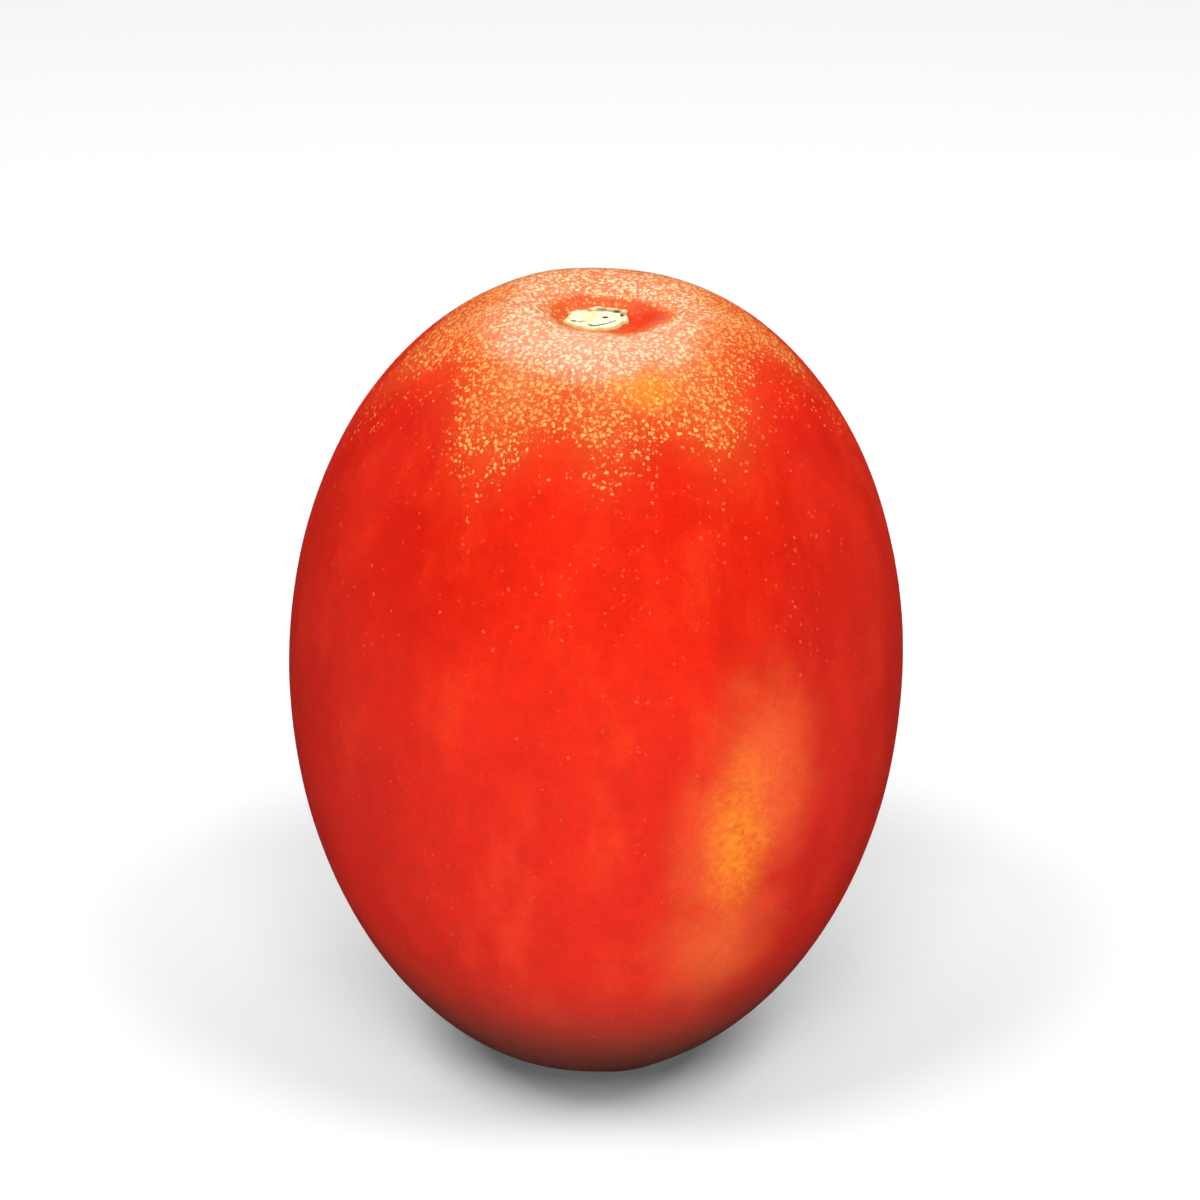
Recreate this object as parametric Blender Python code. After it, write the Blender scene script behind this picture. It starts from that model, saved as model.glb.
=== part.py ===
"""A ripe plum tomato, picked, standing on its blossom end.

The fruit grew as one piece, so it is one solid: the skin, the dimple at the stem
end, the corky scar that the stalk left in the dimple, and the small flat spot
that it stands on. Metres, +Z up. The origin is on the surface that the fruit
stands on, under the middle of the fruit. The paler side faces -Y.

Places on the skin are given by two angles: a polar angle from the stem end down
to the blossom end, and an azimuth about +Z, counted from +X towards +Y.
"""

import math

import bmesh
import bpy

# Driving dimensions of the egg that the fruit is drawn from
WIDTH = 0.050
EGG_HEIGHT = 0.0702
TAPER = 0.042
BLUNTNESS = 0.007
LEAN = 0.0006

# Soft lobes of the cross-section, as shares of the radius
FLATNESS = 0.004
LOBE_COUNT = 3
LOBE_HEIGHT = 0.006
LOBE_AZIMUTH = math.radians(90)

# The dimple that the stalk grew from, wider towards +X
DIMPLE_DEPTH = 0.0032
DIMPLE_RADIUS = 0.00535
DIMPLE_STRETCH = 0.15
DIMPLE_AZIMUTH = math.radians(15)

# Shoulders pressed up between the sepals, round the dimple's rim
SHOULDER_COUNT = 5
SHOULDER_HEIGHT = 0.00016
SHOULDER_RADIUS = 0.0066
SHOULDER_SPREAD = 0.0030
SHOULDER_AZIMUTH = math.radians(50)

# The corky scar of the stalk: an oval plate with a ragged edge
SCAR_LENGTH = 0.0055
SCAR_BREADTH = 0.0052
SCAR_SHIFT = -0.00033
SCAR_TURN = math.radians(17)
SCAR_RISE = 0.00018
SCAR_HOLLOW = 0.00012
SCAR_RAGS = ((7, 0.025, 0.6), (11, 0.020, 2.1), (17, 0.014, 4.0))
SCAR_POINTS = ((math.radians(193), math.radians(10), 0.11), (math.radians(35), math.radians(7), 0.09))

# The flat spot that the fruit stands on, and how high its rounded edge reaches
FOOT_RADIUS = 0.0050
FOOT_EASE = 0.0004

# Mesh density
SEGMENTS = 80
SCAR_SHARES = (0.35, 0.68, 0.95, 1.03)
DIMPLE_RINGS = 9
BODY_RINGS = 28
FOOT_RINGS = 4

# Sizes that follow from the driving dimensions
EGG_RADIUS = WIDTH / 2 / (1 - BLUNTNESS)
STEM_END_SPREAD = EGG_RADIUS * (1 + TAPER + BLUNTNESS)
TIP_SPREAD = EGG_RADIUS * (1 - TAPER + BLUNTNESS)
SCAR_ANGLE = (SCAR_LENGTH + SCAR_BREADTH) / 4 / STEM_END_SPREAD
RAGS_END_ANGLE = 2 * SCAR_ANGLE
RIM_ANGLE = 2 * SHOULDER_RADIUS / STEM_END_SPREAD
FOOT_ANGLE = math.pi - FOOT_RADIUS / TIP_SPREAD
FOOT_EDGE_ANGLE = math.pi - 1.5 * FOOT_RADIUS / TIP_SPREAD

SKIN_RED = (0.66, 0.022, 0.008, 1.0)
CORK_CREAM = (0.78, 0.70, 0.45, 1.0)


def clear_scene():
    """Removes whatever the scene holds."""
    for obj in list(bpy.data.objects):
        bpy.data.objects.remove(obj)


def principled(name, colour, roughness):
    """A plain non-metal material."""
    material = bpy.data.materials.new(name)
    material.use_nodes = True
    shader = material.node_tree.nodes["Principled BSDF"]
    shader.inputs["Base Color"].default_value = colour
    shader.inputs["Roughness"].default_value = roughness
    shader.inputs["Metallic"].default_value = 0.0
    material.diffuse_color = colour
    return material


def ease(value, low, high):
    """0 below low, 1 above high, and a smooth rise between."""
    share = min(1.0, max(0.0, (value - low) / (high - low)))
    return share * share * (3 - 2 * share)


def bell(value, width):
    """1 at zero, falling away on both sides."""
    return math.exp(-((value / width) ** 2))


def turn_between(a, b):
    """The signed angle from b to a, from -pi to pi."""
    return math.remainder(a - b, 2 * math.pi)


def egg(polar):
    """Radius and height of the bare egg."""
    fullness = 1 + TAPER * math.cos(polar) + BLUNTNESS * math.cos(2 * polar)
    return EGG_RADIUS * math.sin(polar) * fullness, EGG_HEIGHT / 2 * (1 + math.cos(polar))


def scar_outline(azimuth):
    """How far the scar's ragged edge stands from its centre, as a share of its mean radius."""
    turned = azimuth - SCAR_TURN
    half_length, half_breadth = SCAR_LENGTH / 2, SCAR_BREADTH / 2
    oval = half_length * half_breadth / math.hypot(
        half_breadth * math.cos(turned), half_length * math.sin(turned)
    )
    rags = sum(depth * math.cos(count * azimuth + phase) for count, depth, phase in SCAR_RAGS)
    points = sum(length * bell(turn_between(azimuth, at), spread) for at, spread, length in SCAR_POINTS)
    reach = oval * (1 + rags + points) + SCAR_SHIFT * math.cos(azimuth)
    return reach / (SCAR_ANGLE * STEM_END_SPREAD)


def dimple(radius, azimuth):
    """How far the stem end is sunk below the egg, less the shoulders round the rim."""
    reach = DIMPLE_RADIUS * (1 + DIMPLE_STRETCH * math.cos(azimuth - DIMPLE_AZIMUTH))
    shoulders = SHOULDER_HEIGHT * math.cos(SHOULDER_COUNT * (azimuth - SHOULDER_AZIMUTH))
    rim = bell(radius - SHOULDER_RADIUS, SHOULDER_SPREAD)
    return DIMPLE_DEPTH * bell(radius, reach) - shoulders * rim


def stem_end_height(polar, azimuth):
    """Height of the sunk skin over a polar angle near the stem end."""
    radius, height = egg(polar)
    return height - dimple(radius, azimuth)


def scar_height(share, azimuth):
    """Height of the scar's plate: level, slightly hollow, its edge a little above the skin."""
    edge = stem_end_height(SCAR_ANGLE * scar_outline(azimuth), azimuth)
    level = stem_end_height(SCAR_ANGLE, SCAR_TURN + math.pi / 2)
    return level + (edge - level) * share**2 + SCAR_RISE - SCAR_HOLLOW * (1 - share**2)


FOOT_SINK = egg(FOOT_ANGLE)[1] + FOOT_EASE


def stood(height):
    """Height above the surface that the fruit stands on, flat under the foot and rounded into it."""
    above = height - FOOT_SINK
    if above <= -FOOT_EASE:
        return 0.0
    if above >= FOOT_EASE:
        return above
    return (above + FOOT_EASE) ** 2 / (4 * FOOT_EASE)


def skin_point(polar, azimuth):
    """The point of the fruit's surface at a ring's polar angle."""
    share = polar / SCAR_ANGLE
    ragged = 1 + (scar_outline(azimuth) - 1) * (1 - ease(polar, SCAR_ANGLE, RAGS_END_ANGLE))
    if share < 1:
        height = scar_height(share, azimuth)
    else:
        height = stem_end_height(polar * ragged, azimuth)
    radius = egg(polar * ragged)[0]
    lobes = LOBE_HEIGHT * math.cos(LOBE_COUNT * (azimuth - LOBE_AZIMUTH)) * math.sin(polar)
    radius *= 1 + lobes - FLATNESS * math.sin(azimuth) ** 2
    lean = LEAN * (height / EGG_HEIGHT - 0.5)
    return radius * math.cos(azimuth) + lean, radius * math.sin(azimuth), stood(height)


def spaced(first, last, count):
    """Evenly spaced values after first, up to and with last."""
    return [first + (last - first) * (i + 1) / count for i in range(count)]


def ring_angles():
    """Polar angles from pole to pole: close together over the scar, the dimple and the foot."""
    scar = [0.0] + [SCAR_ANGLE * share for share in SCAR_SHARES]
    stem_end = spaced(scar[-1], RIM_ANGLE, DIMPLE_RINGS)
    body = spaced(RIM_ANGLE, FOOT_EDGE_ANGLE, BODY_RINGS)
    foot = spaced(FOOT_EDGE_ANGLE, FOOT_ANGLE, FOOT_RINGS)
    return scar + stem_end + body + foot + [math.pi]


def make_tomato(collection):
    """The whole fruit: a sphere whose rings are spaced and shaped by the formulas above."""
    angles = ring_angles()
    steps = len(angles) - 1
    shape = bmesh.new()
    bmesh.ops.create_uvsphere(shape, u_segments=SEGMENTS, v_segments=steps, radius=1.0)
    rings = {}
    for vertex in shape.verts:
        ring = round(math.acos(max(-1.0, min(1.0, vertex.co.z))) / math.pi * steps)
        azimuth = math.atan2(vertex.co.y, vertex.co.x)
        rings[vertex] = ring
        vertex.co = skin_point(angles[ring], azimuth)
    cork_rings = len(SCAR_SHARES)
    for face in shape.faces:
        face.smooth = True
        face.material_index = int(all(rings[v] <= cork_rings for v in face.verts))
    bmesh.ops.recalc_face_normals(shape, faces=shape.faces)
    mesh = bpy.data.meshes.new("tomato")
    shape.to_mesh(mesh)
    shape.free()
    mesh.materials.append(principled("tomato_skin", SKIN_RED, 0.33))
    mesh.materials.append(principled("stem_scar_cork", CORK_CREAM, 0.8))
    tomato = bpy.data.objects.new("tomato", mesh)
    collection.objects.link(tomato)
    return tomato


def main():
    clear_scene()
    collection = bpy.data.collections.new("plum_tomato")
    bpy.context.scene.collection.children.link(collection)
    make_tomato(collection)


main()
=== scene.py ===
"""The looks of a ripe plum tomato, picked, standing on its blossom end.

The fruit's skin, the cork of its stem scar and the dry tip at its blossom end are
modelled and dressed here, round the solid that gives the fruit its form and size.
Metres, +Z up, the paler side, which also carries the painted sheen, towards -Y.
Finishes measure their patterns in millimetres. A place on the skin is a polar
angle from the stem end and an azimuth about +Z, counted from +X towards +Y.
"""

import logging
import math
from collections.abc import Mapping
from dataclasses import dataclass, field
from enum import Enum
from functools import reduce
from typing import Any, TypeVar

import bmesh
import bpy
import numpy as np
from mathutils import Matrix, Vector, noise


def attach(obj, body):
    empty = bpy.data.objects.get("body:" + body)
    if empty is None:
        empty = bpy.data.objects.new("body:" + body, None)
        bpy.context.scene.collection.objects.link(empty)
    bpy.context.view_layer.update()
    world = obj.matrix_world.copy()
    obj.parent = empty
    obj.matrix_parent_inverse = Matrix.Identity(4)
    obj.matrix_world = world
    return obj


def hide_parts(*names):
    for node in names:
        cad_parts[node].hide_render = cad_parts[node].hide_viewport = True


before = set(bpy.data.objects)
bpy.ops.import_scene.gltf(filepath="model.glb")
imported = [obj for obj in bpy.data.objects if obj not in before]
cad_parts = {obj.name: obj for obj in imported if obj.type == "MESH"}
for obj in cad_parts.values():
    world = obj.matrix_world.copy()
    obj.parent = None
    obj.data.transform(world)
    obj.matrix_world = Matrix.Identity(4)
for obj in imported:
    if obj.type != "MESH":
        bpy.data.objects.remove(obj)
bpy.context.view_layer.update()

NODE = "tomato"
BODY = "root"
MM = 0.001
SMOOTH = {"interpolation_type": "SMOOTHSTEP", "clamp": True}

Colour = tuple[float, float, float, float]
Place = tuple[float, float, float]
Span = tuple[float, float]
Array = np.ndarray
Socket = bpy.types.NodeSocket
Piece = bpy.types.Object
Varying = TypeVar("Varying", Array, "Signal")

log = logging.getLogger("plum_tomato")


def ease(value: Array, low: float, high: float) -> Array:
    """A smooth rise from 0 at low to 1 at high, or a fall where low is above high."""
    share = np.clip((value - low) / (high - low), 0.0, 1.0)
    return share * share * (3 - 2 * share)


def between(share: Varying, low: float, high: float) -> Varying:
    """A number that runs from low, where the share is 0, to high, where it is 1."""
    return share * (high - low) + low


def bell(value: Array, width: float) -> Array:
    """1 at zero, falling away on both sides."""
    return np.exp(-((value / width) ** 2))


def turn_between(first: Array, second: float) -> Array:
    """The signed angle from second to first, from -pi to pi."""
    return (first - second + math.pi) % (2 * math.pi) - math.pi


def ripple(places: Array, size: float) -> Array:
    """Smooth seeded noise from -1 to 1, with swells of this size in metres."""
    return np.array([noise.noise(Vector(place)) for place in places / size])


def spaced(first: float, last: float, count: int) -> list[float]:
    """Evenly spaced values after first, up to and with last."""
    return [first + (last - first) * (i + 1) / count for i in range(count)]


@dataclass(frozen=True)
class Grain:
    """Soft noise: its swells in a millimetre, its finer layers, and how strong these are."""

    per_mm: float
    detail: float = 2.0
    roughness: float = 0.5

    def inputs(self) -> dict[str, float]:
        """The noise node's inputs."""
        return {"Scale": self.per_mm, "Detail": self.detail, "Roughness": self.roughness}


@dataclass(frozen=True)
class Signal:
    """A number that varies over a surface: sums on it add Math nodes."""

    graph: "Graph"
    socket: Socket

    def __add__(self, other: "Signal | float") -> "Signal":
        """The sum with another number."""
        return self.graph.math("ADD", self, other)

    def __sub__(self, other: "Signal | float") -> "Signal":
        """The difference from another number."""
        return self.graph.math("SUBTRACT", self, other)

    def __rsub__(self, other: float) -> "Signal":
        """A number less this one."""
        return self.graph.math("SUBTRACT", other, self)

    def __mul__(self, other: "Signal | float") -> "Signal":
        """The product with another number."""
        return self.graph.math("MULTIPLY", self, other)

    __radd__ = __add__
    __rmul__ = __mul__


class Graph:
    """The nodes of one material."""

    def __init__(self, name: str) -> None:
        """Starts a material that holds one Principled shader.

        Args:
            name: The material's name.
        """
        self.material = bpy.data.materials.new(name)
        self.material.use_nodes = True
        self.tree = self.material.node_tree
        self.shader = self.tree.nodes["Principled BSDF"]

    def node(
        self, kind: str, settings: Mapping[str, Any], inputs: Mapping[str | int, Any]
    ) -> bpy.types.Node:
        """Adds a node.

        Args:
            kind: The node's type, such as ShaderNodeTexNoise.
            settings: Its properties, which are set first.
            inputs: Values, signals or sockets for its inputs, by name or number.

        Returns:
            The new node.
        """
        made = self.tree.nodes.new(kind)
        for name, value in settings.items():
            setattr(made, name, value)
        for name, value in inputs.items():
            self.feed(made.inputs[name], value)
        return made

    def feed(self, socket: Socket, value: Any) -> None:
        """Links a signal or a socket to an input, or sets the input's own value.

        Args:
            socket: The input.
            value: A signal, an output socket, a number or a tuple.
        """
        source = value.socket if isinstance(value, Signal) else value
        if isinstance(source, Socket):
            self.tree.links.new(source, socket)
        else:
            socket.default_value = source

    def math(self, operation: str, *operands: "Signal | float") -> Signal:
        """A Math node's result on one or two numbers."""
        made = self.node("ShaderNodeMath", {"operation": operation}, dict(enumerate(operands)))
        return Signal(self, made.outputs[0])

    def vector_math(self, operation: str, inputs: Mapping[str | int, Any]) -> bpy.types.Node:
        """A Vector Math node."""
        return self.node("ShaderNodeVectorMath", {"operation": operation}, inputs)

    def vector(self, operation: str, *operands: Any) -> Socket:
        """A Vector Math node's vector result on one or two vectors."""
        return self.vector_math(operation, dict(enumerate(operands))).outputs["Vector"]

    def scaled(self, vector: Any, factor: "Signal | float") -> Socket:
        """A vector times a number."""
        return self.vector_math("SCALE", {0: vector, "Scale": factor}).outputs["Vector"]

    def length(self, vector: Any) -> Signal:
        """A vector's length."""
        return Signal(self, self.vector_math("LENGTH", {0: vector}).outputs["Value"])

    def parts(self, vector: Any) -> tuple[Signal, Signal, Signal]:
        """A vector's three numbers."""
        made = self.node("ShaderNodeSeparateXYZ", {}, {0: vector})
        return tuple(Signal(self, made.outputs[axis]) for axis in range(3))

    def mixed(self, factor: "Signal | float", first: Any, second: Any) -> Socket:
        """A colour between two, first at factor 0 and second at factor 1."""
        settings = {"data_type": "RGBA", "clamp_factor": True}
        return self.node("ShaderNodeMix", settings, {0: factor, 6: first, 7: second}).outputs[2]

    def rise(self, value: Signal, low: "Signal | float", high: "Signal | float") -> Signal:
        """A smooth rise from 0 at low to 1 at high, or a fall where low is above high."""
        inputs = {0: value, 1: low, 2: high}
        return Signal(self, self.node("ShaderNodeMapRange", SMOOTH, inputs).outputs[0])

    def grain(self, place: Any, grain: Grain) -> Signal:
        """Soft noise from 0 to 1 at a place in millimetres."""
        made = self.node("ShaderNodeTexNoise", {}, {"Vector": place, **grain.inputs()})
        return Signal(self, made.outputs["Fac"])

    def cells(self, place: Any, per_mm: float) -> tuple[Signal, tuple[Signal, Signal, Signal]]:
        """How far the nearest of scattered points is, in spacings, and three numbers of its own."""
        made = self.node("ShaderNodeTexVoronoi", {}, {"Vector": place, "Scale": per_mm})
        return Signal(self, made.outputs["Distance"]), self.parts(made.outputs["Color"])

    def attribute(self, name: str) -> Signal:
        """A number that the mesh holds for each of its points."""
        made = self.node("ShaderNodeAttribute", {"attribute_name": name}, {})
        return Signal(self, made.outputs["Fac"])

    def place_mm(self) -> Socket:
        """The place on the object, in millimetres."""
        return self.scaled(self.node("ShaderNodeTexCoord", {}, {}).outputs["Object"], 1 / MM)

    def bump(self, height: Signal, strength: float, depth: float) -> Socket:
        """A normal tilted by a height, where 1 stands for a depth in metres."""
        inputs = {"Strength": strength, "Distance": depth, "Height": height}
        return self.node("ShaderNodeBump", {}, inputs).outputs["Normal"]

    def surface(self, inputs: Mapping[str, Any]) -> bpy.types.Material:
        """Feeds the shader's inputs, by name.

        Args:
            inputs: Values, signals or sockets.

        Returns:
            The material.
        """
        for name, value in inputs.items():
            self.feed(self.shader.inputs[name], value)
        return self.material


@dataclass(frozen=True)
class FruitForm:
    """The fruit's form, from the same driving sizes as its solid."""

    width: float = 0.050
    egg_height: float = 0.0702
    taper: float = 0.042
    bluntness: float = 0.007
    lean: float = 0.0006
    flatness: float = 0.004
    lobe_count: int = 3
    lobe_height: float = 0.006
    lobe_azimuth: float = math.radians(90)
    dimple_depth: float = 0.0032
    dimple_radius: float = 0.00535
    dimple_stretch: float = 0.15
    dimple_azimuth: float = math.radians(15)
    shoulder_count: int = 5
    shoulder_height: float = 0.00016
    shoulder_radius: float = 0.0066
    shoulder_spread: float = 0.0030
    shoulder_azimuth: float = math.radians(50)
    scar_length: float = 0.0051
    scar_breadth: float = 0.0044
    scar_shift: float = -0.00020
    scar_turn: float = math.radians(14)
    scar_rise: float = 0.00012
    scar_hollow: float = 0.00010
    scar_levelness: float = 0.85
    scar_rags: tuple[tuple[int, float, float], ...] = (
        (7, 0.025, 0.6),
        (11, 0.020, 2.1),
        (17, 0.014, 4.0),
    )
    scar_points: tuple[tuple[float, float, float], ...] = (
        (math.radians(195), math.radians(8), 0.10),
        (math.radians(35), math.radians(6), 0.19),
        (math.radians(129), math.radians(20), -0.15),
    )
    foot_radius: float = 0.0050
    foot_ease: float = 0.0004

    @property
    def egg_radius(self) -> float:
        """The bare egg's radius at its widest, before its taper and bluntness."""
        return self.width / 2 / (1 - self.bluntness)

    @property
    def stem_end_spread(self) -> float:
        """How fast the radius grows with the polar angle at the stem end."""
        return self.egg_radius * (1 + self.taper + self.bluntness)

    @property
    def tip_spread(self) -> float:
        """How fast the radius grows with the angle from the blossom end."""
        return self.egg_radius * (1 - self.taper + self.bluntness)

    @property
    def scar_angle(self) -> float:
        """The polar angle of the scar's mean edge."""
        return (self.scar_length + self.scar_breadth) / 4 / self.stem_end_spread

    @property
    def rim_angle(self) -> float:
        """The polar angle past which the stem end is plain."""
        return 2 * self.shoulder_radius / self.stem_end_spread

    @property
    def foot_angle(self) -> float:
        """The polar angle of the flat spot's edge."""
        return math.pi - self.foot_radius / self.tip_spread

    @property
    def foot_sink(self) -> float:
        """How much of the bare egg lies below the surface that the fruit stands on."""
        return self.egg(np.array([self.foot_angle]))[1][0] + self.foot_ease

    def egg(self, polar: Array) -> tuple[Array, Array]:
        """Radius and height of the bare egg."""
        fullness = 1 + self.taper * np.cos(polar) + self.bluntness * np.cos(2 * polar)
        return self.egg_radius * np.sin(polar) * fullness, self.egg_height / 2 * (1 + np.cos(polar))

    def scar_outline(self, azimuth: Array) -> Array:
        """How far the scar's ragged edge stands from its centre.

        Args:
            azimuth: The azimuths at which the edge is wanted.

        Returns:
            The distances, as shares of the scar's mean radius.
        """
        turned = azimuth - self.scar_turn
        length, breadth = self.scar_length / 2, self.scar_breadth / 2
        oval = length * breadth / np.hypot(breadth * np.cos(turned), length * np.sin(turned))
        rags = sum(depth * np.cos(count * azimuth + at) for count, depth, at in self.scar_rags)
        points = sum(
            out * bell(turn_between(azimuth, at), spread) for at, spread, out in self.scar_points
        )
        reach = oval * (1 + rags + points) + self.scar_shift * np.cos(azimuth)
        return reach / (self.scar_angle * self.stem_end_spread)

    def dimple(self, radius: Array, azimuth: Array) -> Array:
        """How far the stem end is sunk below the egg, less the shoulders round the rim.

        Args:
            radius: The points' distances from the fruit's axis, in metres.
            azimuth: The points' azimuths.

        Returns:
            The depths, in metres.
        """
        stretch = self.dimple_stretch * np.cos(azimuth - self.dimple_azimuth)
        sunk = self.dimple_depth * bell(radius, self.dimple_radius * (1 + stretch))
        shoulders = np.cos(self.shoulder_count * (azimuth - self.shoulder_azimuth))
        rim = bell(radius - self.shoulder_radius, self.shoulder_spread)
        return sunk - self.shoulder_height * shoulders * rim

    def stem_end_height(self, polar: Array, azimuth: Array) -> Array:
        """Height of the sunk skin over a polar angle near the stem end."""
        radius, height = self.egg(polar)
        return height - self.dimple(radius, azimuth)

    def scar_level(self) -> float:
        """Height of the skin beside the scar, which the scar's plate is level with."""
        beside = self.scar_turn + math.pi / 2
        return self.stem_end_height(np.array([self.scar_angle]), np.array([beside]))[0]

    def scar_tilt(self, azimuth: Array) -> Array:
        """How far the skin at the scar's edge would stand above the plate's level."""
        edge = self.stem_end_height(self.scar_angle * self.scar_outline(azimuth), azimuth)
        return edge - self.scar_level()

    def scar_height(self, share: Array, azimuth: Array) -> Array:
        """Height of the scar's plate: level, slightly hollow, its edge a little above the skin."""
        tilt = self.scar_tilt(azimuth) * (1 - self.scar_levelness) * share**2
        return self.scar_level() + tilt + self.scar_rise - self.scar_hollow * (1 - share**2)

    def near_scar(self, polar: Array) -> Array:
        """1 at the scar, falling to 0 at twice its radius."""
        return 1 - ease(polar, self.scar_angle, 2 * self.scar_angle)

    def settled_height(self, polar: Array, azimuth: Array) -> Array:
        """Height of the skin near the stem end, settled round the level plate of the scar."""
        sunk = self.scar_tilt(azimuth) * self.scar_levelness * self.near_scar(polar)
        return self.stem_end_height(polar, azimuth) - sunk

    def stood(self, height: Array) -> Array:
        """Height above the surface that the fruit stands on, flat under the foot.

        Args:
            height: Heights on the bare egg's scale, in metres.

        Returns:
            The heights as the fruit stands, in metres.
        """
        above = height - self.foot_sink
        rounded = (above + self.foot_ease) ** 2 / (4 * self.foot_ease)
        clear = np.where(above >= self.foot_ease, above, rounded)
        return np.where(above <= -self.foot_ease, 0.0, clear)

    def ragged(self, polar: Array, azimuth: Array) -> Array:
        """A ring's polar angle, bent along the scar's ragged edge where it is near it."""
        return polar * (1 + (self.scar_outline(azimuth) - 1) * self.near_scar(polar))

    def placed(self, polar: Array, azimuth: Array, height: Array, swell: Array) -> Array:
        """Points of the fruit's surface.

        Args:
            polar: Their polar angles.
            azimuth: Their azimuths.
            height: Their heights on the bare egg's scale.
            swell: How far each stands out from the form, in metres.

        Returns:
            The points in metres, one a row.
        """
        lobes = np.cos(self.lobe_count * (azimuth - self.lobe_azimuth)) * np.sin(polar)
        flat = self.flatness * np.sin(azimuth) ** 2
        radius = self.egg(polar)[0] * (1 + self.lobe_height * lobes - flat)
        radius = radius + swell * np.sin(polar)
        raised = height + swell * np.cos(polar)
        lean = self.lean * (raised / self.egg_height - 0.5)
        x, y = radius * np.cos(azimuth) + lean, radius * np.sin(azimuth)
        return np.stack([x, y, self.stood(raised)], axis=1)


@dataclass
class Globe:
    """A sphere of rings from pole to pole, which the pieces are shaped from."""

    name: str
    segments: int
    rings: int

    def __post_init__(self) -> None:
        """Makes the sphere, and notes each point's ring and azimuth."""
        shape = bmesh.new()
        density = {"u_segments": self.segments, "v_segments": self.rings}
        bmesh.ops.create_uvsphere(shape, radius=1.0, **density)
        bmesh.ops.recalc_face_normals(shape, faces=shape.faces)
        self.mesh = bpy.data.meshes.new(self.name)
        shape.to_mesh(self.mesh)
        shape.free()
        points = np.zeros(len(self.mesh.vertices) * 3)
        self.mesh.vertices.foreach_get("co", points)
        points = points.reshape(-1, 3)
        turn = np.arccos(np.clip(points[:, 2], -1.0, 1.0))
        self.ring = np.rint(turn / math.pi * self.rings).astype(int)
        self.azimuth = np.arctan2(points[:, 1], points[:, 0])

    def hold(self, name: str, values: Array) -> None:
        """Keeps a number for each point, which a finish reads by its name."""
        held = self.mesh.attributes.new(name, "FLOAT", "POINT")
        held.data.foreach_set("value", values.astype(np.float32))

    def shaped(self, points: Array) -> Piece:
        """Moves the points into place, shades the faces smooth and links the piece.

        Args:
            points: The points in metres, one a row.

        Returns:
            The piece.
        """
        self.mesh.vertices.foreach_set("co", points.astype(np.float32).ravel())
        self.mesh.update()
        self.mesh.shade_smooth()
        piece = bpy.data.objects.new(self.name, self.mesh)
        bpy.context.scene.collection.objects.link(piece)
        return piece


@dataclass(frozen=True)
class Zone:
    """A soft-edged patch of the skin: its middle and its reach along X, Y and Z, in millimetres."""

    middle: Place
    reach: Place
    core: float = 0.0
    fray: Grain = Grain(0.35, 4.0, 0.65)
    raggedness: float = 0.7

    def mask(self, graph: Graph, place: Any) -> Signal:
        """How far inside the patch each place is.

        Args:
            graph: The material's nodes.
            place: The place in millimetres.

        Returns:
            1 in the patch, fading to 0 round its ragged reach.
        """
        apart = graph.vector("DIVIDE", graph.vector("SUBTRACT", place, self.middle), self.reach)
        ragged = (graph.grain(place, self.fray) - 0.5) * self.raggedness
        return graph.rise(graph.length(apart) + ragged, 1.0, self.core)


@dataclass(frozen=True)
class Spots:
    """Scattered round spots, whose widths are shares of their spacing.

    Each spot draws its width and its strength from between two numbers. An edge is how far
    past its size a spot, or a crowd of them, begins and how far past it is whole.
    """

    per_mm: float
    widths: Span
    edge: Span
    crowding: float
    crowd_edge: Span
    strengths: Span

    def mask(self, graph: Graph, place: Any, density: Signal, growth: Signal | float) -> Signal:
        """Where the spots are.

        Args:
            graph: The material's nodes.
            place: The place in millimetres.
            density: How crowded the spots are, from 0 to 1.
            growth: How much wider they are than drawn.

        Returns:
            How strongly a spot shows, 0 off the spots.
        """
        apart, (drawn, width, strength) = graph.cells(place, self.per_mm)
        size = between(width, *self.widths) + growth
        crowd = density * self.crowding
        spot = graph.rise(apart, *(size + edge for edge in self.edge))
        shown = graph.rise(drawn, *(crowd + edge for edge in self.crowd_edge))
        return spot * shown * between(strength, *self.strengths)


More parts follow.
